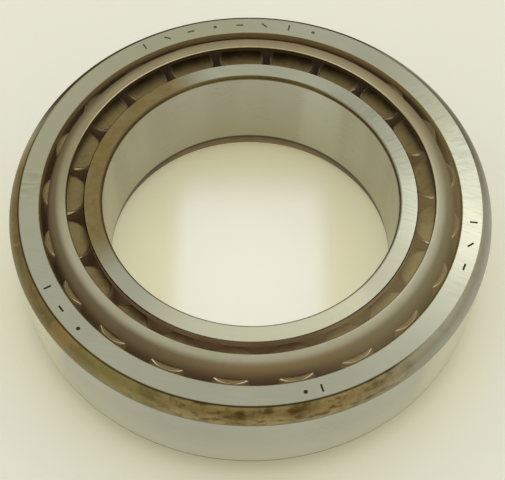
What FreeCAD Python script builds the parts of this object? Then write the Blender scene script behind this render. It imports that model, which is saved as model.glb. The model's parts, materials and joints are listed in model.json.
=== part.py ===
"""Single-row tapered roller bearing, standing on the back face of its inner ring.

Millimetres. The origin is on the bearing axis at the inner ring's back face, and +Z points up the
axis towards the small ends of the rollers. Both raceways and every roller cone share one apex on the
axis, so each roller rolls on both rings without sliding.
"""
import FreeCAD
import Part
import math
import os

from FreeCAD import Placement, Rotation, Vector

# Boundary dimensions of the standard inch-series size.
BORE_RADIUS = 89.974 / 2
OUTER_RADIUS = 146.975 / 2
BEARING_WIDTH = 40.0
OUTER_RING_WIDTH = 32.5

# Raceway cones: half-angles in degrees about the bearing axis.
OUTER_RACE_ANGLE = 12.53
INNER_RACE_ANGLE = 9.66
OUTER_RACE_RADIUS_AT_FACE = 63.2

# Rollers.
ROLLER_COUNT = 21
FIRST_ROLLER_ANGLE = 8.38
ROLLER_LENGTH = 26.6
ROLLER_SMALL_END_Z = 37.6
ROLLER_CORNER = 1.3
ROLLER_RUNNING_CLEARANCE = 0.03

# Inner ring.
LARGE_RIB_RADIUS = 59.45
SMALL_RIB_RADIUS = 50.66
LARGE_RIB_CLEARANCE = 0.15
SMALL_RIB_CLEARANCE = 0.35
BACK_BORE_CORNER_RADIAL = 3.6
BACK_BORE_CORNER_AXIAL = 8.5
BACK_BORE_CORNER_BULGE = 0.65
FRONT_BORE_CORNER_RADIAL = 0.73
FRONT_BORE_CORNER_AXIAL = 1.35
FRONT_BORE_CORNER_BULGE = 0.2
RIB_EDGE_BREAK = 0.3
BACK_EDGE_BREAK = 0.8
RELIEF_WIDTH = 1.4
RELIEF_DEPTH = 0.35
RELIEF_SLOPE = 0.3

# Outer ring.
OUTER_CORNER_RADIAL = 3.6
OUTER_CORNER_AXIAL = 4.95
OUTER_CORNER_BULGE = 0.85
FRONT_EDGE_BREAK = 0.9
RACE_MOUTH_RADIUS = 63.92
RACE_MOUTH_CHAMFER = 0.7
RACE_FOOT_CHAMFER = 0.5

# Cage, pressed from one sheet.
CAGE_SHEET = 2.0
CAGE_TOP_Z = 42.6
CAGE_FLANGE_RADIUS = 55.45
CAGE_BEND_CENTRE_RADIUS = 56.25
CAGE_BEND_RADIUS = 5.5
CAGE_WALL_LENGTH = 34.6
CAGE_FLANGE_ROUND = 0.3
CAGE_EDGE_BREAK = 0.35
WINDOW_SIDE_CLEARANCE = 0.2
WINDOW_END_CLEARANCE = 0.3

# Plain marks pressed into the outer ring's back face, shared out round four arcs of it.
# Each arc gives its first angle, the step between marks, and the marks by name.
MARK_ARCS = [
    (73.0, 7.0, ["dot", "spoke", "slant", "bar", "dot", "bar", "slant", "spoke"]),
    (210.4, 7.05, ["spoke", "bar", "dot"]),
    (283.6, 4.0, ["dot", "spoke"]),
    (338.2, 6.85, ["bar", "slant", "spoke"]),
]
MARK_TURNS = {"spoke": 0, "slant": 50, "bar": 90}
MARK_CENTRE_RADIUS = 67.3
MARK_LENGTH = 2.4
MARK_WIDTH = 0.6
MARK_DOT_RADIUS = 0.6
MARK_DEPTH = 0.15

ORIGIN = Vector(0, 0, 0)
UP = Vector(0, 0, 1)

ROLLER_AXIS_ANGLE = (OUTER_RACE_ANGLE + INNER_RACE_ANGLE) / 2
ROLLER_HALF_ANGLE = (OUTER_RACE_ANGLE - INNER_RACE_ANGLE) / 2


def sin(degrees):
    return math.sin(math.radians(degrees))


def cos(degrees):
    return math.cos(math.radians(degrees))


def tan(degrees):
    return math.tan(math.radians(degrees))


# Distances from the shared apex, measured down a roller's axis.
APEX_Z = BEARING_WIDTH + OUTER_RACE_RADIUS_AT_FACE / tan(OUTER_RACE_ANGLE)
SMALL_END_REACH = (APEX_Z - ROLLER_SMALL_END_Z) / cos(ROLLER_AXIS_ANGLE)
LARGE_END_REACH = SMALL_END_REACH + ROLLER_LENGTH


def outer_race_point(z):
    """Point on the outer raceway at height z."""
    return ((APEX_Z - z) * tan(OUTER_RACE_ANGLE), z)


def inner_race_point(z, depth=0.0):
    """Point at height z, this deep under the inner raceway."""
    return ((APEX_Z - z) * tan(INNER_RACE_ANGLE) - depth, z)


def end_plane_height(reach, radius):
    """Height, at one radius, of the plane square to a roller's axis at this reach."""
    centre_radius = reach * sin(ROLLER_AXIS_ANGLE)
    centre_z = APEX_Z - reach * cos(ROLLER_AXIS_ANGLE)
    return centre_z + (radius - centre_radius) * tan(ROLLER_AXIS_ANGLE)


def end_plane_on_inner_race(reach):
    """Height at which that plane cuts the inner raceway."""
    return APEX_Z - reach / cos(ROLLER_HALF_ANGLE) * cos(INNER_RACE_ANGLE)


def circle_point(centre, radius, degrees):
    """Point on a circle drawn in the (radius, z) plane."""
    return (centre[0] + radius * cos(degrees), centre[1] + radius * sin(degrees))


def bulged_corner(start, end, bulge):
    """Arc from start to end that stands out to the left of the straight line between them."""
    across = end[0] - start[0]
    up = end[1] - start[1]
    chord = math.hypot(across, up)
    middle = ((start[0] + end[0]) / 2 - bulge * up / chord, (start[1] + end[1]) / 2 + bulge * across / chord)
    return ("arc", middle, end)


def revolve(profile):
    """Solid of revolution about the bearing axis.

    Each item is a point (radius, z) joined to the one before by a straight edge, or
    ("arc", middle, end) for an arc through middle to end. The profile closes on its first point.
    """
    edges = []
    here = Vector(profile[0][0], 0, profile[0][1])
    for item in profile[1:] + profile[:1]:
        if item[0] == "arc":
            middle = Vector(item[1][0], 0, item[1][1])
            end = Vector(item[2][0], 0, item[2][1])
            edges.append(Part.Arc(here, middle, end).toShape())
        else:
            end = Vector(item[0], 0, item[1])
            edges.append(Part.makeLine(here, end))
        here = end
    return Part.Face(Part.Wire(edges)).revolve(ORIGIN, UP, 360)


def make_inner_ring():
    """Bored ring with a conical raceway between a small front rib and a large back rib."""
    rib_reach = LARGE_END_REACH + LARGE_RIB_CLEARANCE
    rib_root_z = end_plane_on_inner_race(rib_reach)
    rib_top_z = end_plane_height(rib_reach, LARGE_RIB_RADIUS - RIB_EDGE_BREAK)

    front_reach = SMALL_END_REACH - SMALL_RIB_CLEARANCE
    front_root_z = end_plane_on_inner_race(front_reach)
    front_top_z = end_plane_height(front_reach, SMALL_RIB_RADIUS - RIB_EDGE_BREAK)

    back_edge = (BORE_RADIUS + BACK_BORE_CORNER_RADIAL, 0)
    bore_foot = (BORE_RADIUS, BACK_BORE_CORNER_AXIAL)
    bore_top = (BORE_RADIUS, BEARING_WIDTH - FRONT_BORE_CORNER_AXIAL)
    front_edge = (BORE_RADIUS + FRONT_BORE_CORNER_RADIAL, BEARING_WIDTH)
    return revolve([
        # Long soft back corner, bore and short front corner.
        back_edge,
        bulged_corner(back_edge, bore_foot, BACK_BORE_CORNER_BULGE),
        bore_top,
        bulged_corner(bore_top, front_edge, FRONT_BORE_CORNER_BULGE),
        # Small rib.
        (SMALL_RIB_RADIUS - RIB_EDGE_BREAK, BEARING_WIDTH),
        (SMALL_RIB_RADIUS, BEARING_WIDTH - RIB_EDGE_BREAK),
        (SMALL_RIB_RADIUS, front_top_z + RIB_EDGE_BREAK),
        (SMALL_RIB_RADIUS - RIB_EDGE_BREAK, front_top_z),
        inner_race_point(front_root_z),
        # Raceway, with a grinding relief at each end.
        inner_race_point(front_root_z - RELIEF_SLOPE, RELIEF_DEPTH),
        inner_race_point(front_root_z - RELIEF_WIDTH + RELIEF_SLOPE, RELIEF_DEPTH),
        inner_race_point(front_root_z - RELIEF_WIDTH),
        inner_race_point(rib_root_z + RELIEF_WIDTH),
        inner_race_point(rib_root_z + RELIEF_WIDTH - RELIEF_SLOPE, RELIEF_DEPTH),
        inner_race_point(rib_root_z + RELIEF_SLOPE, RELIEF_DEPTH),
        inner_race_point(rib_root_z),
        # Large rib.
        (LARGE_RIB_RADIUS - RIB_EDGE_BREAK, rib_top_z),
        (LARGE_RIB_RADIUS, rib_top_z - RIB_EDGE_BREAK),
        (LARGE_RIB_RADIUS, BACK_EDGE_BREAK),
        (LARGE_RIB_RADIUS - BACK_EDGE_BREAK, 0),
    ])


def make_outer_ring():
    """Ring with a conical raceway, whose wide back face has a full outer corner and the marks."""
    foot_z = BEARING_WIDTH - OUTER_RING_WIDTH
    mouth_race = outer_race_point(BEARING_WIDTH - RACE_MOUTH_CHAMFER)
    foot_race = outer_race_point(foot_z + RACE_FOOT_CHAMFER)

    face_edge = (OUTER_RADIUS - OUTER_CORNER_RADIAL, BEARING_WIDTH)
    side_edge = (OUTER_RADIUS, BEARING_WIDTH - OUTER_CORNER_AXIAL)
    ring = revolve([
        mouth_race,
        (RACE_MOUTH_RADIUS, BEARING_WIDTH),
        face_edge,
        bulged_corner(face_edge, side_edge, OUTER_CORNER_BULGE),
        (OUTER_RADIUS, foot_z + FRONT_EDGE_BREAK),
        (OUTER_RADIUS - FRONT_EDGE_BREAK, foot_z),
        (foot_race[0] + RACE_FOOT_CHAMFER, foot_z),
        foot_race,
    ])
    return ring.cut(make_marks())


def make_mark(name):
    """Cutter for one mark at the centre of the row of marks, at angle zero."""
    floor_z = BEARING_WIDTH - MARK_DEPTH
    centre = Vector(MARK_CENTRE_RADIUS, 0, floor_z)
    if name == "dot":
        return Part.makeCylinder(MARK_DOT_RADIUS, 2 * MARK_DEPTH, centre)
    half_width = MARK_WIDTH / 2
    half_length = MARK_LENGTH / 2 - half_width
    corner = centre - Vector(half_length, half_width, 0)
    bar = Part.makeBox(2 * half_length, MARK_WIDTH, 2 * MARK_DEPTH, corner)
    ends = [Part.makeCylinder(half_width, 2 * MARK_DEPTH, centre + Vector(side * half_length, 0, 0))
            for side in (-1, 1)]
    slot = bar.fuse(ends).removeSplitter()
    slot.rotate(centre, UP, MARK_TURNS[name])
    return slot


def make_marks():
    """Cutters for every mark on the outer ring's back face."""
    marks = []
    for first_angle, step, names in MARK_ARCS:
        for index, name in enumerate(names):
            mark = make_mark(name)
            mark.rotate(ORIGIN, UP, first_angle + step * index)
            marks.append(mark)
    return marks


def make_roller(angle, side_growth=0.0, end_growth=0.0):
    """Tapered roller at this angle round the bearing, grown outwards on its sides and ends."""
    large_reach = LARGE_END_REACH + end_growth
    small_reach = SMALL_END_REACH - end_growth
    fit = side_growth - ROLLER_RUNNING_CLEARANCE
    large_radius = large_reach * tan(ROLLER_HALF_ANGLE) + fit
    small_radius = small_reach * tan(ROLLER_HALF_ANGLE) + fit
    cone = Part.makeCone(large_radius, small_radius, large_reach - small_reach)
    rims = [edge for edge in cone.Edges if isinstance(edge.Curve, Part.Circle)]
    roller = cone.makeFillet(ROLLER_CORNER + side_growth, rims)

    towards_apex = Vector(-sin(ROLLER_AXIS_ANGLE), 0, cos(ROLLER_AXIS_ANGLE))
    large_end = Vector(0, 0, APEX_Z) - towards_apex * large_reach
    roller.Placement = Placement(large_end, Rotation(UP, towards_apex))
    roller.rotate(ORIGIN, UP, angle)
    return roller


def make_cage(roller_angles):
    """Sheet cage: an inward flange, a bend and a conical wall with one window for each roller."""
    bend_centre = (CAGE_BEND_CENTRE_RADIUS, CAGE_TOP_Z - CAGE_BEND_RADIUS)
    inner_bend_radius = CAGE_BEND_RADIUS - CAGE_SHEET
    flange_under_z = CAGE_TOP_Z - CAGE_SHEET
    bend_middle_angle = (90 + OUTER_RACE_ANGLE) / 2

    def wall_point(across, along):
        """Point this far across the sheet from its inner side, and this far down the wall."""
        start = circle_point(bend_centre, inner_bend_radius + across, OUTER_RACE_ANGLE)
        return (start[0] + along * sin(OUTER_RACE_ANGLE), start[1] - along * cos(OUTER_RACE_ANGLE))

    top_round = (CAGE_FLANGE_RADIUS + CAGE_FLANGE_ROUND, CAGE_TOP_Z - CAGE_FLANGE_ROUND)
    under_round = (CAGE_FLANGE_RADIUS + CAGE_FLANGE_ROUND, flange_under_z + CAGE_FLANGE_ROUND)
    blank = revolve([
        # Outer side of the bend and of the wall.
        (CAGE_BEND_CENTRE_RADIUS, CAGE_TOP_Z),
        ("arc", circle_point(bend_centre, CAGE_BEND_RADIUS, bend_middle_angle), wall_point(CAGE_SHEET, 0)),
        wall_point(CAGE_SHEET, CAGE_WALL_LENGTH - CAGE_EDGE_BREAK),
        wall_point(CAGE_SHEET - CAGE_EDGE_BREAK, CAGE_WALL_LENGTH),
        # Foot, inner side of the wall, and inner side of the bend.
        wall_point(CAGE_EDGE_BREAK, CAGE_WALL_LENGTH),
        wall_point(0, CAGE_WALL_LENGTH - CAGE_EDGE_BREAK),
        wall_point(0, 0),
        ("arc", circle_point(bend_centre, inner_bend_radius, bend_middle_angle),
         (CAGE_BEND_CENTRE_RADIUS, flange_under_z)),
        # Underside, rounded inner edge and top of the flange.
        (under_round[0], flange_under_z),
        ("arc", circle_point(under_round, CAGE_FLANGE_ROUND, 225), (CAGE_FLANGE_RADIUS, under_round[1])),
        (CAGE_FLANGE_RADIUS, top_round[1]),
        ("arc", circle_point(top_round, CAGE_FLANGE_ROUND, 135), (top_round[0], CAGE_TOP_Z)),
    ])
    windows = [make_roller(angle, WINDOW_SIDE_CLEARANCE, WINDOW_END_CLEARANCE) for angle in roller_angles]
    return blank.cut(windows)


def main():
    os.makedirs("parts", exist_ok=True)
    roller_angles = [FIRST_ROLLER_ANGLE + 360 * index / ROLLER_COUNT for index in range(ROLLER_COUNT)]
    nodes = {
        "inner_ring": make_inner_ring(),
        "outer_ring": make_outer_ring(),
        "cage": make_cage(roller_angles),
    }
    for number, angle in enumerate(roller_angles, start=1):
        nodes["roller_%02d" % number] = make_roller(angle)
    for name, shape in nodes.items():
        shape.exportStep("parts/%s.step" % name)


main()
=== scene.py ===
"""Looks of a tapered roller bearing that stands on a pale table, lit by soft studio light.

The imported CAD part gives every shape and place, and nothing is modelled over it. This script gives each
ground, honed, turned, forged and pressed surface its own metal, and adds the table, the light and the camera.
Lengths are millimetres where metals are made or chosen and in names that end in _MM, and metres elsewhere.
Sectors round the bearing are in degrees.
"""

import json
import math

import bpy
from mathutils import Matrix, Vector


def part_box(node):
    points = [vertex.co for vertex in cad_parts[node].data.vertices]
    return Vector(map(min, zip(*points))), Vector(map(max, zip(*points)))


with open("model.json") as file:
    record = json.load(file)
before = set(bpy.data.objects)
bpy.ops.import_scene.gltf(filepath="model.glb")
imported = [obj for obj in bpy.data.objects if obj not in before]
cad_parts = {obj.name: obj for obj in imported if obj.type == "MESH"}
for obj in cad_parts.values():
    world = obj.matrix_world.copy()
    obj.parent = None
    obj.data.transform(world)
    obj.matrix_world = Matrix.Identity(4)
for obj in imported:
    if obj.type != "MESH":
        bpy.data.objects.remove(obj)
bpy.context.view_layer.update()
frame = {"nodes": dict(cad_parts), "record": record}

# Places taken from the frame: lengths in millimetres, angles in radians.
joints = {joint["name"]: joint for joint in frame["record"]["behaviour"]["joints"]}
mounts = {mount["name"]: mount for mount in frame["record"]["mounts"]}
ROLLER_COUNT = sum(name.startswith("roller_") for name in frame["nodes"])
ROLLER_CENTRE = [1000 * value for value in joints["roller_01_spin"]["pos_m"]]
ROLLER_AXIS = joints["roller_01_spin"]["axis"]
FIRST_ROLLER_ANGLE = math.atan2(ROLLER_CENTRE[1], ROLLER_CENTRE[0])
ROLLER_TILT = math.acos(ROLLER_AXIS[2])
BORE_RADIUS_MM = mounts["shaft_bore"]["dims"]["r_mm"]
OUTER_RADIUS_MM = mounts["housing_seat"]["dims"]["r_mm"]
TOP_MM = 1000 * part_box("inner_ring")[1][2]
OUTER_FOOT_MM = 1000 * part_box("outer_ring")[0][2]
CAGE_TOP_MM = 1000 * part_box("cage")[1][2]

# Sizes and edges that the frame doesn't list.
ROLLER_HALF_MM = 13.3
CAGE_MOUTH_RADIUS_MM = 55.45
OUTER_FACE_OUTER_EDGE_MM = OUTER_RADIUS_MM - 3.6
OUTER_FACE_INNER_EDGE_MM = 63.9
CORNER_HEIGHT_MM = 4.95
BORE_FOOT_MM = 8.5
BORE_TOP_MM = TOP_MM - 1.35
BORE_FOOT_WIDTH_MM = 3.7
BORE_EDGE_RADIUS_MM = BORE_RADIUS_MM + 0.73
SMALL_RIB_RADIUS_MM = 50.66
SMALL_RIB_EDGE_MM = 0.31
MOUTH_EDGE_HEIGHT_MM = 0.8
MARK_REACH_MM = 0.3
TURNED_BELOW_TOP_MM = 1.4
TURNED_ABOVE_BACK_MM = 2

# How near to a plane or to a cylinder the middle of a mesh face has to be to count as lying on it.
ON_PLANE_MM = 0.01
ON_CYLINDER_MM = 0.06

# Brown oil has dried on the left of the inner ring's face: its middle, and how far to each side it is full
# and where it ends, in degrees round the bearing. The right-hand side is at 0 and the camera is at 270.
OIL_FILM = (162, 34, 58)

# A freshly ground face has patches of these two tones.
GROUND_FACE_TONES = ((0.385, 0.395, 0.382), (0.41, 0.42, 0.408))

# Painted light: weak emission for light scattered in the thick oil in the gaps, so they are brown and not
# black.
PAINTED_OIL_GLOW = (0.015, 0.010, 0.006)
PAINTED_OIL_GLOW_IN_FRONT = (0.032, 0.021, 0.012)
PAINTED_OIL_GLOW_AT_RIGHT = (0.078, 0.066, 0.035)

# Camera: it stands in front of the bearing, towards -Y, and looks steeply down at it.
CAMERA_DISTANCE = 0.350
CAMERA_ELEVATION = 55.9
CAMERA_LOOKS_DOWN = 58.26
CAMERA_TURN = -0.11
CAMERA_ROLL = 0.95
CAMERA_LENS_MM = 82.35

# Light: a dim warm room, and soft panels given by azimuth and elevation in degrees, angular half-widths
# where each starts and stops fading, brightness and colour. A negative brightness takes light away.
ROOM_HIGH = (0.86, 0.84, 0.63)
ROOM_LOW = (0.58, 0.50, 0.33)
PANELS = {
    "back_right": (70, 55, 2.0, 5.5, 2.3, (1.0, 0.98, 0.82)),
    "behind_camera": (270, 30, 20, 50, -0.40, (1.0, 1.02, 0.9)),
}

# The table is a sheet of paper that glows as painted light: most over a strip
# in the middle of the bore, and a little outside, warmer close to the bearing than far from it. Each
# entry is a strength and a colour.
GLOW_OVER_STRIP = (0.383, (1.0, 0.985, 0.963))
GLOW_IN_BORE = (0.29, (1.0, 0.93, 0.57))
GLOW_CLOSE = (0.19, (0.95, 0.95, 0.70))
GLOW_FAR = (0.18, (0.85, 0.90, 1.0))


class Shader:
    """A material's node tree, with one short call for each kind of node used here."""

    def __init__(self, name, tree=None):
        if tree is None:
            self.material = bpy.data.materials.new(name)
            self.material.use_nodes = True
            tree = self.material.node_tree
        self.tree = tree
        self.tree.nodes.clear()

    def node(self, kind, inputs=(), **settings):
        node = self.tree.nodes.new(kind)
        for key, value in settings.items():
            setattr(node, key, value)
        for key, value in dict(inputs).items():
            self.feed(node.inputs[key], value)
        return node

    def feed(self, socket, value):
        if isinstance(value, bpy.types.NodeSocket):
            self.tree.links.new(value, socket)
        else:
            socket.default_value = value

    def math(self, operation, a, b=0.0, clamp=False):
        node = self.node("ShaderNodeMath", {0: a, 1: b}, operation=operation, use_clamp=clamp)
        return node.outputs[0]

    def vector(self, x=0.0, y=0.0, z=0.0):
        return self.node("ShaderNodeCombineXYZ", {"X": x, "Y": y, "Z": z}).outputs[0]

    def between(self, value, low, high, to_low=0.0, to_high=1.0):
        """Smooth step of value from low to high, scaled to the output range."""
        inputs = {"Value": value, "From Min": low, "From Max": high, "To Min": to_low, "To Max": to_high}
        return self.node("ShaderNodeMapRange", inputs, interpolation_type="SMOOTHSTEP").outputs["Result"]

    def near(self, value, centre, full, gone):
        """1 within this distance of the centre, fading to 0."""
        distance = self.math("ABSOLUTE", self.math("SUBTRACT", value, centre))
        return self.between(distance, full, gone, 1.0, 0.0)

    def mix(self, share, a, b):
        node = self.node("ShaderNodeMix", data_type="RGBA", blend_type="MIX")
        self.feed(node.inputs[0], share)
        self.feed(node.inputs[6], color(a))
        self.feed(node.inputs[7], color(b))
        return node.outputs[2]

    def paint(self, tone, where, strength, colour):
        """The tone, going over to another colour by this much where the mask is 1."""
        return self.mix(self.math("MULTIPLY", where, strength), tone, colour)

    def blend(self, share, a, b):
        """Number that goes from a to b as share goes from 0 to 1."""
        node = self.node("ShaderNodeMix", data_type="FLOAT")
        for index, value in zip((0, 2, 3), (share, a, b)):
            self.feed(node.inputs[index], value)
        return node.outputs[0]

    def noise(self, vector, scale=1.0, detail=2.0, roughness=0.5, distortion=0.0):
        inputs = {"Vector": vector, "Scale": scale, "Detail": detail, "Roughness": roughness,
                  "Distortion": distortion}
        return self.node("ShaderNodeTexNoise", inputs).outputs["Fac"]

    def bump(self, height, depth_mm, strength):
        inputs = {"Height": height, "Distance": depth_mm / 1000, "Strength": strength}
        return self.node("ShaderNodeBump", inputs).outputs["Normal"]

    def metal(self, base_color, roughness, normal, **values):
        """Principled metal, wired to the output."""
        inputs = {"Base Color": color(base_color), "Roughness": roughness, "Metallic": 1.0, "Normal": normal}
        inputs.update(values)
        shader = self.node("ShaderNodeBsdfPrincipled", inputs)
        output = self.node("ShaderNodeOutputMaterial")
        self.tree.links.new(shader.outputs[0], output.inputs["Surface"])
        return self.material


def oily_metal_with_painted_glow(s, p, tone, roughness, normal, metallic, share=1.0):
    """Metal under thick oil, with weak emission as painted light; share is how much of the surface glows."""
    in_front = p.sector(268, 32, 60)
    at_right = p.sector(336, 28, 54)
    painted_glow = s.mix(in_front, PAINTED_OIL_GLOW, PAINTED_OIL_GLOW_IN_FRONT)
    painted_glow = s.mix(at_right, painted_glow, PAINTED_OIL_GLOW_AT_RIGHT)
    values = {"Metallic": metallic, "Emission Color": painted_glow, "Emission Strength": share}
    return s.metal(tone, roughness, normal, **values)


def color(value):
    """Three numbers become an opaque colour; anything else is passed on."""
    return (*value, 1.0) if isinstance(value, tuple) and len(value) == 3 else value


class Place:
    """Where a point is on the bearing at rest, in millimetres, as sockets of a material."""

    def __init__(self, shader):
        s = self.shader = shader
        metres = s.node("ShaderNodeTexCoord").outputs["Object"]
        scaled = s.node("ShaderNodeVectorMath", {0: metres, "Scale": 1000.0}, operation="SCALE")
        self.point = scaled.outputs[0]
        split = s.node("ShaderNodeSeparateXYZ", {0: self.point}).outputs
        self.x, self.y, self.z = split[0], split[1], split[2]
        flat = s.vector(self.x, self.y)
        self.radius = s.node("ShaderNodeVectorMath", {0: flat}, operation="LENGTH").outputs["Value"]
        self.cos = s.math("DIVIDE", self.x, self.radius)
        self.sin = s.math("DIVIDE", self.y, self.radius)

    def ring_lines(self, across, across_per_mm, round_trip, detail=3.0):
        """Noise drawn out round the bearing: fine across the lines, long along them."""
        s = self.shader
        x = s.math("MULTIPLY", self.cos, round_trip)
        y = s.math("MULTIPLY", self.sin, round_trip)
        z = s.math("MULTIPLY", across, across_per_mm)
        return s.noise(s.vector(x, y, z), 1.0, detail, 0.6)

    def sector(self, angle, full, gone):
        """1 within `full` degrees of an angle round the bearing, fading to 0 at `gone` degrees from it."""
        s = self.shader
        a = math.radians(angle)
        toward_x = s.math("MULTIPLY", self.cos, math.cos(a))
        toward_y = s.math("MULTIPLY", self.sin, math.sin(a))
        facing = s.math("ADD", toward_x, toward_y)
        return s.between(facing, math.cos(math.radians(gone)), math.cos(math.radians(full)))


def grinding_arcs(s, p, wheel, lines_per_mm):
    """Lines left by a grinding wheel whose centre passed far away, so they cross a face in arcs."""
    reach = s.node("ShaderNodeVectorMath", {0: p.point, 1: wheel}, operation="DISTANCE").outputs["Value"]
    along = s.math("MULTIPLY", p.x, 0.06)
    return s.noise(s.vector(s.math("MULTIPLY", reach, lines_per_mm), along, 0.0), 1.0, 3.0, 0.6)


def ground_face(name, tones, wear_and_painted_light):
    """Flat ring face: satin, with crossing arcs left by grinding wheels; wear(s, p, tone) adds the rest."""
    s = Shader(name)
    p = Place(s)
    arcs = grinding_arcs(s, p, (40, 320, 0), 2.4)
    cross = grinding_arcs(s, p, (-90, -330, 0), 1.7)
    clouds = s.noise(p.point, 0.06, 3.0, 0.55)
    tone = s.mix(s.between(clouds, 0.3, 0.7), *tones)
    tone = s.mix(s.between(arcs, 0.4, 0.8, 0.0, 0.2), tone, (0.30, 0.29, 0.26))
    tone = wear_and_painted_light(s, p, tone)
    roughness = s.between(s.math("ADD", cross, clouds), 0.7, 1.3, 0.17, 0.22)
    height = s.math("ADD", arcs, s.math("MULTIPLY", cross, 0.7))
    return s.metal(tone, roughness, s.bump(height, 0.003, 0.6))


def hatched(s, p, tone, angle, gone):
    """Short polishing lines, nearly radial, round one angle."""
    turns_x = s.math("MULTIPLY", p.cos, 48.0)
    turns_y = s.math("MULTIPLY", p.sin, 48.0)
    pattern = s.noise(s.vector(turns_x, turns_y, s.math("MULTIPLY", p.radius, 0.12)), 1.0, 3.0, 0.6)
    lines = s.between(pattern, 0.47, 0.66, 0.0, 0.42)
    return s.mix(s.math("MULTIPLY", p.sector(angle, 4, gone), lines), tone, (0.22, 0.24, 0.23))


def outer_face_wear_and_painted_light(s, p, tone):
    """Oily specks, a brighter stretch that is a painted highlight and duller stretches, a rubbed patch of
    short scratches, and painted shade along the edges.
    """
    specks = s.noise(p.point, 1.1, 4.0, 0.65)
    tone = s.mix(s.between(specks, 0.60, 0.72, 0.0, 0.22), tone, (0.30, 0.25, 0.16))
    painted_reflection, duller, yellowed = p.sector(347, 6, 15), p.sector(38, 10, 24), p.sector(135, 35, 62)
    # Painted highlight: the face is lighter round 347 degrees.
    tone = s.paint(tone, painted_reflection, 0.5, (0.47, 0.475, 0.45))
    tone = s.paint(tone, duller, 0.6, (0.350, 0.355, 0.315))
    tone = s.paint(tone, yellowed, 0.6, (0.380, 0.375, 0.300))
    tone = hatched(s, p, tone, 18, 27)

    patch = p.sector(179, 3.0, 5.5)
    across = s.vector(s.math("MULTIPLY", p.x, 0.10), s.math("MULTIPLY", p.y, 0.9), 0.0)
    scratches = s.noise(across, 1.0, 2.0, 0.5)
    dark_ones = s.math("MULTIPLY", patch, s.between(scratches, 0.5, 0.60, 0.0, 0.4))
    bright_ones = s.math("MULTIPLY", patch, s.between(scratches, 0.36, 0.46, 0.35, 0.0))
    tone = s.mix(dark_ones, tone, (0.27, 0.29, 0.265))
    tone = s.mix(bright_ones, tone, (0.52, 0.54, 0.52))

    # Painted shade: dark lines along both edges of the face, the outer one only on the front and left half.
    edge_tone = (0.16, 0.13, 0.08)
    inner_rim = s.near(p.radius, OUTER_FACE_INNER_EDGE_MM, 0.05, 0.25)
    outer_rim = s.near(p.radius, OUTER_FACE_OUTER_EDGE_MM, 0.05, 0.35)
    outer_rim = s.math("SUBTRACT", outer_rim, p.sector(50, 90, 108), clamp=True)
    tone = s.paint(tone, inner_rim, 0.5, edge_tone)
    return s.paint(tone, outer_rim, 0.5, edge_tone)


def inner_face_wear_and_painted_light(s, p, tone):
    """Lighter at the front as a painted reflection, duller at the right, a film of dried brown oil on the
    left, and painted shade along the edges.
    """
    specks = s.noise(p.point, 0.5, 3.0, 0.6)
    clouds = s.noise(p.point, 0.12, 3.0, 0.55)
    painted_reflection, dark, duller = p.sector(281, 5, 60), p.sector(34, 12, 32), p.sector(329, 5, 18)
    # Painted reflection: the front of the face is much lighter.
    tone = s.paint(tone, painted_reflection, 0.85, (0.64, 0.64, 0.59))
    tone = s.paint(tone, dark, 0.45, (0.25, 0.25, 0.22))
    tone = s.paint(tone, duller, 0.5, (0.37, 0.375, 0.34))
    tone = hatched(s, p, tone, 27, 28)

    film = s.math("MULTIPLY", p.sector(*OIL_FILM), s.between(clouds, 0.2, 0.6, 0.85, 1.0))
    film_tone = s.mix(s.between(specks, 0.3, 0.7), (0.195, 0.145, 0.068), (0.228, 0.172, 0.086))
    tone = s.mix(film, tone, film_tone)

    # Painted shade: dark lines along the edge of the bore and the edge of the small rib.
    rim = s.math("ADD", s.near(p.radius, BORE_EDGE_RADIUS_MM, 0.05, 0.2),
                 s.near(p.radius, SMALL_RIB_RADIUS_MM, 0.05, 0.15), clamp=True)
    return s.paint(tone, rim, 0.45, (0.15, 0.12, 0.07))


def heat_scale(s, p, patches, streaks, fine):
    """Tone of the scale on the wide corner: brown patches, dark stains and specks, and a little rust."""
    tone = s.mix(s.between(patches, 0.34, 0.66), (0.245, 0.190, 0.088), (0.400, 0.315, 0.170))
    darker, stained, olive = p.sector(200, 18, 36), p.sector(282, 18, 45), p.sector(240, 5, 16)
    tone = s.paint(tone, darker, 0.6, (0.145, 0.120, 0.052))
    stains = s.math("MULTIPLY", s.between(streaks, 0.46, 0.66), s.between(stained, 0.0, 1.0, 0.25, 0.85))
    tone = s.mix(stains, tone, (0.115, 0.075, 0.028))
    tone = s.mix(s.between(fine, 0.56, 0.70, 0.0, 0.35), tone, (0.090, 0.060, 0.024))
    rust = s.between(s.noise(p.point, 0.28, 2.0, 0.5), 0.62, 0.72, 0.0, 0.5)
    rust = s.math("MAXIMUM", rust, s.math("MULTIPLY", p.sector(222, 0.5, 3.5), 0.35))
    tone = s.mix(rust, tone, (0.370, 0.215, 0.080))
    return s.paint(tone, olive, 0.45, (0.215, 0.205, 0.085))


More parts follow.
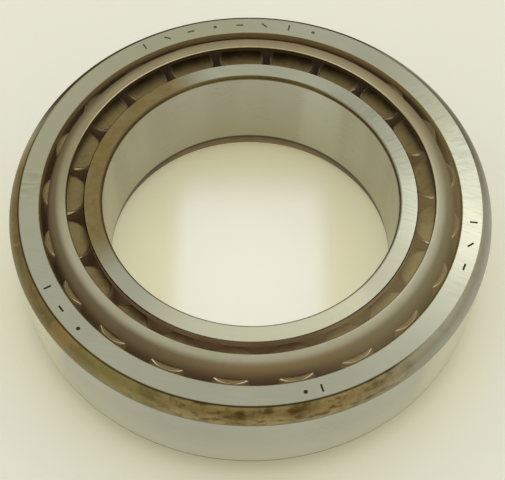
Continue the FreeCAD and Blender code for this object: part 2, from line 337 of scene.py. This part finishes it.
def forged_corner():
    """The wide outer corner: scale and rust at the front, bare at the right, and matt old scale behind,
    painted near black as shade; a painted shade line runs next to the face.
    """
    s = Shader("forged_corner")
    p = Place(s)
    patches = s.noise(p.point, 0.085, 3.0, 0.5, 0.6)
    streaks = p.ring_lines(p.z, 0.70, 15.0, 4.0)
    fine = s.noise(p.point, 0.8, 3.0, 0.6)
    scale = heat_scale(s, p, patches, streaks, fine)
    clean = s.mix(p.sector(40, 14, 45), (0.370, 0.370, 0.335), (0.175, 0.165, 0.120))
    clean = s.mix(s.between(streaks, 0.45, 0.7, 0.0, 0.2), clean, (0.20, 0.18, 0.13))
    bare = s.math("MAXIMUM", p.sector(5, 42, 72), p.sector(95, 52, 80))
    tone = s.mix(bare, scale, clean)

    behind = p.sector(105, 45, 62)
    face_edge = OUTER_FACE_OUTER_EDGE_MM
    # Painted shade: behind, the outer part of the corner is near black, matt and without shine.
    matt_painted_shade = s.math("MULTIPLY", behind, s.between(p.radius, face_edge + 0.25, face_edge + 0.5))
    tone = s.mix(behind, tone, (0.39, 0.395, 0.36))
    tone = s.mix(matt_painted_shade, tone, s.mix(0.85, scale, (0.030, 0.024, 0.012)))

    # Painted shade: a dark line next to the face, but not at the right or behind.
    no_edge = s.math("MAXIMUM", p.sector(8, 48, 66), behind)
    edge = s.math("SUBTRACT", s.near(p.radius, face_edge + 0.1, 0.2, 0.5), no_edge, clamp=True)
    tone = s.paint(tone, edge, 0.85, (0.040, 0.028, 0.014))

    roughness = s.blend(bare, s.between(patches, 0.3, 0.7, 0.34, 0.48), 0.36)
    roughness = s.blend(matt_painted_shade, roughness, s.between(patches, 0.3, 0.7, 0.65, 0.80))
    height = s.math("ADD", s.math("MULTIPLY", streaks, 0.5), s.math("MULTIPLY", fine, 0.5))
    values = {"Metallic": s.blend(matt_painted_shade, 1.0, 0.0), "Specular IOR Level": s.blend(matt_painted_shade, 0.5, 0.0)}
    return s.metal(tone, roughness, s.bump(height, 0.04, 0.5), **values)


def bore_painted_reflection(s, p, tone):
    """Painted reflection: one brighter band, and a little lighter towards the foot."""
    tone = s.paint(tone, p.sector(59, 3, 12), 0.6, (0.52, 0.535, 0.455))
    return s.mix(s.between(p.z, 10.0, 30.0, 0.25, 0.0), tone, (0.55, 0.53, 0.44))


def side_painted_reflection(s, p, tone):
    """Painted reflection: a little brighter towards the foot, and on the left and on the right."""
    left, right = p.sector(198, 16, 28), p.sector(327, 6, 16)
    painted_side_reflection = s.math("MAXIMUM", left, s.math("MULTIPLY", right, 0.7))
    tone = s.mix(s.between(p.z, 10.0, 28.0, 0.8, 0.1), tone, (0.61, 0.61, 0.56))
    return s.paint(tone, painted_side_reflection, 0.9, (0.73, 0.71, 0.56))


def ground_side(name, tones, warm, edges, wear_and_painted_light):
    """Ground cylinder: satin, fine lines round it, soft bands along it; wear(s, p, tone) adds the rest."""
    s = Shader(name)
    p = Place(s)
    lines = p.ring_lines(p.z, 2.0, 5.0)
    along = s.vector(s.math("MULTIPLY", p.cos, 2.2), s.math("MULTIPLY", p.sin, 2.2), 0.0)
    bands = s.noise(along, 1.0, 2.0, 0.4)
    clouds = s.noise(p.point, 0.07, 3.0, 0.5)
    tone = s.mix(s.between(bands, 0.35, 0.65), *tones)
    tone = s.mix(s.between(lines, 0.5, 0.8, 0.0, 0.15), tone, warm)
    tone = wear_and_painted_light(s, p, tone)
    # Painted shade: a dark line at each of these heights.
    for edge_z in edges:
        tone = s.paint(tone, s.near(p.z, edge_z, 0.3, 0.7), 0.85, (0.09, 0.08, 0.05))
    roughness = s.between(s.math("ADD", lines, clouds), 0.7, 1.3, 0.20, 0.28)
    return s.metal(tone, roughness, s.bump(lines, 0.003, 0.5))


def raceway():
    """Honed raceways and ribs: smoother than the faces, brown under a film of oil, with painted shade low
    down behind and a weak painted glow.
    """
    s = Shader("raceway")
    p = Place(s)
    lines = p.ring_lines(p.z, 1.5, 6.0)
    clouds = s.noise(p.point, 0.12, 4.0, 0.6)
    tone = s.mix(s.between(clouds, 0.3, 0.7), (0.40, 0.280, 0.165), (0.48, 0.350, 0.205))
    behind = p.sector(92, 50, 72)
    # Painted shade: behind, the raceway is near black low down.
    deep_painted_shade = s.between(p.z, TOP_MM - 2.5, TOP_MM - 2.1, 0.85, 0.0)
    tone = s.mix(behind, tone, (0.56, 0.41, 0.235))
    tone = s.mix(s.math("MULTIPLY", behind, deep_painted_shade), tone, (0.070, 0.047, 0.026))
    tone = s.mix(s.between(lines, 0.5, 0.8, 0.0, 0.3), tone, (0.30, 0.205, 0.120))
    roughness = s.between(clouds, 0.3, 0.7, 0.34, 0.46)
    return oily_metal_with_painted_glow(s, p, tone, roughness, s.bump(lines, 0.003, 0.5), 0.2)


def turned_edge(name, tones, wear_and_painted_light=None):
    """Small corner or relief: turned, never ground, so darker and brown; wear(s, p, tone) adds the rest."""
    s = Shader(name)
    p = Place(s)
    lines = p.ring_lines(s.math("ADD", p.z, p.radius), 4.0, 5.0)
    clouds = s.noise(p.point, 0.3, 4.0, 0.6)
    tone = s.mix(s.between(clouds, 0.3, 0.7), *tones)
    tone = s.mix(s.between(lines, 0.5, 0.75, 0.0, 0.35), tone, (0.10, 0.070, 0.034))
    if wear_and_painted_light is not None:
        tone = wear_and_painted_light(s, p, tone)
    return s.metal(tone, s.between(lines, 0.3, 0.7, 0.35, 0.48), s.bump(lines, 0.02, 0.5))


def bore_front_wear(s, p, tone):
    """Olive with old oil at the back; elsewhere the lower part is dark and the upper is like the face."""
    upper = s.between(p.radius, BORE_RADIUS_MM + 0.30, BORE_RADIUS_MM + 0.55)
    face_tone = s.mix(p.sector(*OIL_FILM), (0.38, 0.385, 0.36), (0.20, 0.152, 0.074))
    tone = s.mix(upper, tone, face_tone)
    return s.mix(p.sector(92, 18, 40), tone, (0.23, 0.195, 0.095))


def bore_back_painted_shade(s, p, tone):
    """Painted shade: darker on the left and on the right, and a dark line where the bore ends."""
    sides = s.math("MAXIMUM", p.sector(165, 28, 46), p.sector(15, 28, 46))
    tone = s.paint(tone, sides, 0.75, (0.060, 0.046, 0.025))
    return s.paint(tone, s.near(p.z, BORE_FOOT_MM, 0.4, 1.1), 0.9, (0.045, 0.032, 0.017))


def mouth_wear(s, p, tone):
    """Browner behind."""
    return s.mix(p.sector(102, 58, 84), tone, (0.265, 0.205, 0.100))


def mark_fill():
    """Floors of the pressed marks: dark oily residue, worn thinner behind."""
    s = Shader("mark_fill")
    p = Place(s)
    grit = s.noise(p.point, 2.5, 4.0, 0.7)
    tone = s.mix(s.between(grit, 0.35, 0.65), (0.030, 0.024, 0.014), (0.085, 0.068, 0.040))
    tone = s.paint(tone, p.sector(98, 25, 45), 0.6, (0.26, 0.25, 0.20))
    return s.metal(tone, s.between(grit, 0.3, 0.7, 0.5, 0.7), s.bump(grit, 0.02, 0.6))


def cage_steel():
    """Pressed sheet: smooth and rounded, with drawing streaks, fine pits and brown oil dried in the bend;
    painted shade and a weak painted glow low in the bend, painted shade at the mouth and a painted highlight
    on the lip.
    """
    s = Shader("cage_steel")
    p = Place(s)
    clouds = s.noise(p.point, 0.10, 3.0, 0.5)
    streaks = p.ring_lines(s.math("ADD", p.radius, p.z), 0.9, 10.0)
    pits = s.noise(p.point, 1.6, 3.0, 0.6)
    patches = s.between(clouds, 0.3, 0.7)
    clean = s.mix(patches, (0.415, 0.405, 0.355), (0.445, 0.435, 0.39))
    dirty = s.mix(patches, (0.31, 0.268, 0.198), (0.36, 0.318, 0.240))
    bend_tone = s.mix(p.sector(98, 66, 110), clean, dirty)

    bare = s.between(p.z, CAGE_TOP_MM - 0.9, CAGE_TOP_MM + 0.1)
    deep_painted_shade = s.between(p.z, CAGE_TOP_MM - 3.2, CAGE_TOP_MM - 1.0, 1.0, 0.0)
    # Brown oil dried in the bend, with painted shade: darker lower down, and darker on the left.
    oil = s.mix(p.sector(350, 28, 60), (0.262, 0.197, 0.120), (0.235, 0.210, 0.145))
    oil = s.mix(deep_painted_shade, oil, (0.140, 0.096, 0.061))
    oil = s.paint(oil, p.sector(185, 45, 85), 0.6, (0.085, 0.062, 0.040))
    tone = s.mix(bare, oil, bend_tone)
    tone = s.mix(s.between(streaks, 0.5, 0.8, 0.0, 0.25), tone, (0.25, 0.21, 0.14))

    # Painted shade: a dark line along the mouth; painted highlight: a light line on its lip, behind.
    mouth = s.between(p.radius, CAGE_MOUTH_RADIUS_MM + 0.1, CAGE_MOUTH_RADIUS_MM + 0.35, 1.0, 0.0)
    painted_lip_highlight = s.math("MULTIPLY", mouth, s.between(p.z, CAGE_TOP_MM - 0.35, CAGE_TOP_MM - 0.2))
    painted_lip_highlight = s.math("MULTIPLY", painted_lip_highlight, p.sector(98, 50, 78))
    tone = s.mix(mouth, tone, (0.075, 0.052, 0.032))
    tone = s.mix(painted_lip_highlight, tone, (0.78, 0.70, 0.54))

    roughness = s.blend(bare, 0.50, s.between(clouds, 0.3, 0.7, 0.27, 0.34))
    roughness = s.blend(painted_lip_highlight, roughness, 0.22)
    height = s.math("ADD", streaks, s.math("MULTIPLY", pits, 0.4))
    metallic = s.blend(bare, 0.15, 1.0)
    return oily_metal_with_painted_glow(s, p, tone, roughness, s.bump(height, 0.006, 0.5), metallic, deep_painted_shade)


def roller_frame(s, p):
    """Which roller a point is on, how far it is from that roller's axis, and how far along it."""
    pitch = 2 * math.pi / ROLLER_COUNT
    angle = s.math("SUBTRACT", s.math("ARCTAN2", p.y, p.x), FIRST_ROLLER_ANGLE)
    index = s.math("ROUND", s.math("DIVIDE", angle, pitch))
    turned_back = s.math("SUBTRACT", s.math("MULTIPLY", index, -pitch), FIRST_ROLLER_ANGLE)
    turn = {"Vector": p.point, "Angle": turned_back}
    first = s.node("ShaderNodeVectorRotate", turn, rotation_type="Z_AXIS").outputs[0]
    centre = (math.hypot(ROLLER_CENTRE[0], ROLLER_CENTRE[1]), 0.0, ROLLER_CENTRE[2])
    tilt = {"Vector": first, "Center": centre, "Angle": ROLLER_TILT}
    upright = s.node("ShaderNodeVectorRotate", tilt, rotation_type="Y_AXIS").outputs[0]
    local = s.node("ShaderNodeVectorMath", {0: upright, 1: centre}, operation="SUBTRACT").outputs[0]
    split = s.node("ShaderNodeSeparateXYZ", {0: local}).outputs
    flat = s.vector(split[0], split[1])
    from_axis = s.node("ShaderNodeVectorMath", {0: flat}, operation="LENGTH").outputs["Value"]
    return index, from_axis, split[2]


def roller_polish(s, p, from_middle):
    """Share of bright polish: a rubbed band round each roller corner, but not where it stays in the oil."""
    band = s.near(from_middle, ROLLER_HALF_MM - 0.60, 0.26, 0.44)
    rubbed = s.between(s.noise(p.point, 0.45, 2.0, 0.5), 0.38, 0.60, 0.70, 1.0)
    inward = s.between(p.radius, 55.0, 57.0, 1.0, 0.0)
    outward = s.math("SUBTRACT", 1.0, inward)
    hidden = s.math("MAXIMUM", s.math("MULTIPLY", p.sector(268, 35, 60), inward),
                    s.math("MULTIPLY", p.sector(92, 42, 62), outward))
    polish = s.math("MULTIPLY", band, rubbed)
    polish = s.math("MULTIPLY", polish, s.math("SUBTRACT", 1.0, hidden))
    return s.math("MULTIPLY", polish, s.between(p.sector(108, 42, 60), 0.0, 1.0, 1.0, 0.6))


def roller_steel():
    """Ground rollers: lines round each one's own axis, polished corners, brown oil on the ends, and a weak
    painted glow.
    """
    s = Shader("roller_steel")
    p = Place(s)
    index, from_axis, along = roller_frame(s, p)
    from_middle = s.math("ABSOLUTE", along)
    end = s.between(from_middle, ROLLER_HALF_MM - 0.16, ROLLER_HALF_MM - 0.05)
    corner = s.between(from_middle, ROLLER_HALF_MM - 1.35, ROLLER_HALF_MM - 1.1)
    polish = roller_polish(s, p, from_middle)

    seed = s.math("MULTIPLY", index, 3.7)
    lines = s.noise(s.vector(0.0, seed, s.math("MULTIPLY", along, 2.2)), 1.0, 3.0, 0.6)
    rings = s.noise(s.vector(s.math("MULTIPLY", from_axis, 2.0), seed, 0.0), 1.0, 3.0, 0.6)
    clouds = s.noise(p.point, 0.16, 4.0, 0.6)
    dirt = s.noise(p.point, 0.42, 4.0, 0.65)

    side_tone = s.mix(s.between(lines, 0.35, 0.75), (0.40, 0.280, 0.185), (0.33, 0.225, 0.140))
    corner_tone = s.mix(p.sector(95, 48, 66), (0.150, 0.108, 0.062), (0.085, 0.060, 0.036))
    side_tone = s.mix(corner, side_tone, corner_tone)
    side_tone = s.mix(polish, side_tone, (0.94, 0.87, 0.73))
    end_tone = s.mix(s.between(clouds, 0.3, 0.7), (0.200, 0.152, 0.082), (0.265, 0.210, 0.116))
    end_tone = s.mix(s.between(dirt, 0.52, 0.68, 0.0, 0.45), end_tone, (0.150, 0.095, 0.056))
    end_tone = s.mix(s.between(rings, 0.5, 0.8, 0.0, 0.25), end_tone, (0.15, 0.11, 0.055))
    tone = s.mix(end, side_tone, end_tone)

    outward = s.between(p.radius, 59.5, 61.0)
    shaded = s.math("MULTIPLY", p.sector(95, 40, 62), outward)
    tone = s.paint(tone, shaded, 0.85, (0.040, 0.028, 0.016))
    dull = s.math("MULTIPLY", s.math("MULTIPLY", p.sector(350, 35, 60), outward), end)
    tone = s.paint(tone, dull, 0.6, (0.120, 0.090, 0.055))

    roughness = s.blend(polish, s.between(clouds, 0.3, 0.7, 0.36, 0.46), 0.15)
    roughness = s.blend(end, roughness, s.between(clouds, 0.3, 0.7, 0.40, 0.50))
    height = s.blend(end, lines, rings)
    metallic = s.math("MAXIMUM", s.blend(polish, 0.2, 1.0), end)
    # Where the weak painted glow is: off the polish, and on the ends only in front at the right.
    oil = s.math("SUBTRACT", 1.0, polish)
    oil = s.math("MULTIPLY", oil, s.blend(end, 1.0, p.sector(300, 42, 64)))
    return oily_metal_with_painted_glow(s, p, tone, roughness, s.bump(height, 0.003, 0.5), metallic, oil)


def outer_ring_surface(radius, z, normal):
    """Name of the metal on this part of the outer ring."""
    on_face = OUTER_FACE_INNER_EDGE_MM + 0.5 < radius < OUTER_FACE_OUTER_EDGE_MM - 0.3
    if TOP_MM - MARK_REACH_MM < z < TOP_MM - ON_PLANE_MM and on_face:
        return "mark_fill"
    if z > TOP_MM - 0.05 or z < OUTER_FOOT_MM + ON_PLANE_MM:
        return "outer_face"
    if z > TOP_MM - CORNER_HEIGHT_MM and radius > OUTER_FACE_OUTER_EDGE_MM - 0.1:
        return "forged_corner"
    if abs(radius - OUTER_RADIUS_MM) < ON_CYLINDER_MM and abs(normal.z) < 0.1:
        return "ground_side"
    if z > TOP_MM - MOUTH_EDGE_HEIGHT_MM:
        return "mouth_edge"
    return "raceway" if abs(normal.z) < 0.3 else "turned_edge"


def inner_ring_surface(radius, z, normal):
    """Name of the metal on this part of the inner ring."""
    on_rib_edge = z > TOP_MM - SMALL_RIB_EDGE_MM and radius > SMALL_RIB_RADIUS_MM - SMALL_RIB_EDGE_MM
    if z > TOP_MM - ON_PLANE_MM or z < ON_PLANE_MM or on_rib_edge:
        return "inner_face"
    if radius < BORE_EDGE_RADIUS_MM and z > BORE_TOP_MM:
        return "bore_front_edge"
    if radius < BORE_RADIUS_MM + ON_CYLINDER_MM:
        return "ground_bore" if z > BORE_FOOT_MM else "bore_back_edge"
    if radius < BORE_RADIUS_MM + BORE_FOOT_WIDTH_MM and z < BORE_FOOT_MM:
        return "bore_back_edge"
    if abs(normal.z) > 0.3 and (z > TOP_MM - TURNED_BELOW_TOP_MM or z < TURNED_ABOVE_BACK_MM):
        return "turned_edge"
    return "raceway"


materials = {
    "outer_face": ground_face("outer_face", GROUND_FACE_TONES, outer_face_wear_and_painted_light),
    "inner_face": ground_face("inner_face", GROUND_FACE_TONES, inner_face_wear_and_painted_light),
    "forged_corner": forged_corner(),
    "ground_side": ground_side("ground_side", ((0.44, 0.44, 0.41), (0.48, 0.485, 0.455)), (0.34, 0.31, 0.25),
                               (OUTER_FOOT_MM + 0.9, TOP_MM - CORNER_HEIGHT_MM), side_painted_reflection),
    "ground_bore": ground_side("ground_bore", ((0.385, 0.37, 0.30), (0.46, 0.445, 0.37)), (0.30, 0.26, 0.18),
                               (BORE_FOOT_MM,), bore_painted_reflection),
    "raceway": raceway(),
    "turned_edge": turned_edge("turned_edge", ((0.17, 0.125, 0.065), (0.25, 0.195, 0.11))),
    "mouth_edge": turned_edge("mouth_edge", ((0.39, 0.350, 0.140), (0.45, 0.400, 0.175)), mouth_wear),
    "bore_front_edge": turned_edge("bore_front_edge", ((0.13, 0.095, 0.045), (0.17, 0.125, 0.06)),
                                   bore_front_wear),
    "bore_back_edge": turned_edge("bore_back_edge", ((0.19, 0.130, 0.075), (0.25, 0.175, 0.105)),
                                  bore_back_painted_shade),
    "mark_fill": mark_fill(),
    "cage_steel": cage_steel(),
    "roller_steel": roller_steel(),
}


def surface(name, polygon):
    """Name of the metal for one face of a CAD node."""
    centre = 1000 * polygon.center
    radius = math.hypot(centre.x, centre.y)
    if name == "outer_ring":
        return outer_ring_surface(radius, centre.z, polygon.normal)
    if name == "inner_ring":
        return inner_ring_surface(radius, centre.z, polygon.normal)
    return "cage_steel" if name == "cage" else "roller_steel"


def dress(name, mesh):
    """Gives every face of one CAD node its metal."""
    mesh.materials.clear()
    slots = {}
    for polygon in mesh.polygons:
        metal = surface(name, polygon)
        if metal not in slots:
            slots[metal] = len(slots)
            mesh.materials.append(materials[metal])
        polygon.material_index = slots[metal]


for node_name, node_object in frame["nodes"].items():
    dress(node_name, node_object.data)


def paper_glow(s, point, radius, in_bore):
    """Colour and strength of the painted light that the table gives."""
    split = s.node("ShaderNodeSeparateXYZ", {0: point}).outputs
    # A painted pool of light over a strip in the middle of the bore.
    bright_strip = s.math("MULTIPLY", s.between(s.math("ABSOLUTE", split[0]), 0.019, 0.030, 1.0, 0.0),
                  s.between(split[1], 0.016, 0.042, 1.0, 0.0))
    far = s.between(radius, 0.078, 0.100)
    outside = s.blend(far, GLOW_CLOSE[0], GLOW_FAR[0])
    inside = s.between(bright_strip, 0.0, 1.0, GLOW_IN_BORE[0], GLOW_OVER_STRIP[0])
    tone = s.mix(far, GLOW_CLOSE[1], GLOW_FAR[1])
    tone = s.mix(in_bore, tone, s.mix(bright_strip, GLOW_IN_BORE[1], GLOW_OVER_STRIP[1]))
    return tone, s.blend(in_bore, outside, inside)


def make_table():
    """Pale paper that the bearing stands on, a little darker close to the bearing as a painted shadow."""
    bpy.ops.mesh.primitive_plane_add(size=6, location=(0, 0, 0))
    table = bpy.context.object
    table.name = "table"
    s = Shader("table_paper")
    point = s.node("ShaderNodeTexCoord").outputs["Object"]
    fibre = s.noise(point, 900.0, 3.0, 0.6)
    sheet = s.noise(point, 6.0, 2.0, 0.5)
    radius = s.node("ShaderNodeVectorMath", {0: point}, operation="LENGTH").outputs["Value"]
    in_bore = s.between(radius, 0.050, 0.060, 1.0, 0.0)
    tone = s.mix(s.between(sheet, 0.35, 0.65), (0.84, 0.845, 0.855), (0.86, 0.865, 0.875))
    # Painted shadow: darker and yellower close to the bearing.
    tone = s.mix(s.between(radius, 0.068, 0.079), (0.70, 0.70, 0.57), tone)
    tone = s.mix(in_bore, tone, (0.86, 0.86, 0.82))
    glow_tone, glow = paper_glow(s, point, radius, in_bore)
    inputs = {"Base Color": tone, "Roughness": 0.85, "Specular IOR Level": 0.15,
              "Emission Color": glow_tone, "Emission Strength": glow,
              "Normal": s.bump(fibre, 0.01, 0.3)}
    shader = s.node("ShaderNodeBsdfPrincipled", inputs)
    output = s.node("ShaderNodeOutputMaterial")
    s.tree.links.new(shader.outputs[0], output.inputs["Surface"])
    table.data.materials.append(s.material)


def direction(azimuth, elevation):
    a = math.radians(azimuth)
    e = math.radians(elevation)
    return Vector((math.cos(e) * math.cos(a), math.cos(e) * math.sin(a), math.sin(e)))


def make_light():
    """Soft light from all round: a warm room, brighter overhead, with the soft panels added."""
    world = bpy.data.worlds.new("studio")
    bpy.context.scene.world = world
    world.use_nodes = True
    s = Shader("studio", world.node_tree)
    ray = s.node("ShaderNodeTexCoord").outputs["Generated"]
    height = s.node("ShaderNodeSeparateXYZ", {0: ray}).outputs[2]
    light = s.mix(s.between(height, 0.0, 0.6), ROOM_LOW, ROOM_HIGH)
    for azimuth, elevation, full, gone, strength, tint in PANELS.values():
        facing = s.node("ShaderNodeVectorMath", {0: ray, 1: direction(azimuth, elevation)},
                        operation="DOT_PRODUCT").outputs["Value"]
        share = s.between(facing, math.cos(math.radians(gone)), math.cos(math.radians(full)), 0.0, strength)
        panel = s.node("ShaderNodeVectorMath", {0: tint, "Scale": share}, operation="SCALE").outputs[0]
        light = s.node("ShaderNodeVectorMath", {0: light, 1: panel}, operation="ADD").outputs[0]
    background = s.node("ShaderNodeBackground", {"Color": light, "Strength": 1.0})
    output = s.node("ShaderNodeOutputWorld")
    s.tree.links.new(background.outputs[0], output.inputs["Surface"])


def make_camera():
    data = bpy.data.cameras.new("camera")
    data.lens = CAMERA_LENS_MM
    camera = bpy.data.objects.new("camera", data)
    bpy.context.scene.collection.objects.link(camera)
    rise = math.radians(CAMERA_ELEVATION)
    top = TOP_MM / 1000
    back = CAMERA_DISTANCE * math.cos(rise)
    place = Matrix.Translation((0, -back, top + CAMERA_DISTANCE * math.sin(rise)))
    tilt = Matrix.Rotation(math.radians(90 - CAMERA_ELEVATION), 4, "X")
    turn = Matrix.Rotation(math.radians(CAMERA_TURN), 4, "Y")
    dip = Matrix.Rotation(math.radians(CAMERA_ELEVATION - CAMERA_LOOKS_DOWN), 4, "X")
    roll = Matrix.Rotation(math.radians(CAMERA_ROLL), 4, "Z")
    camera.matrix_world = place @ tilt @ turn @ dip @ roll
    bpy.context.scene.camera = camera


make_table()
make_light()
make_camera()
bpy.context.scene.view_settings.view_transform = "Standard"
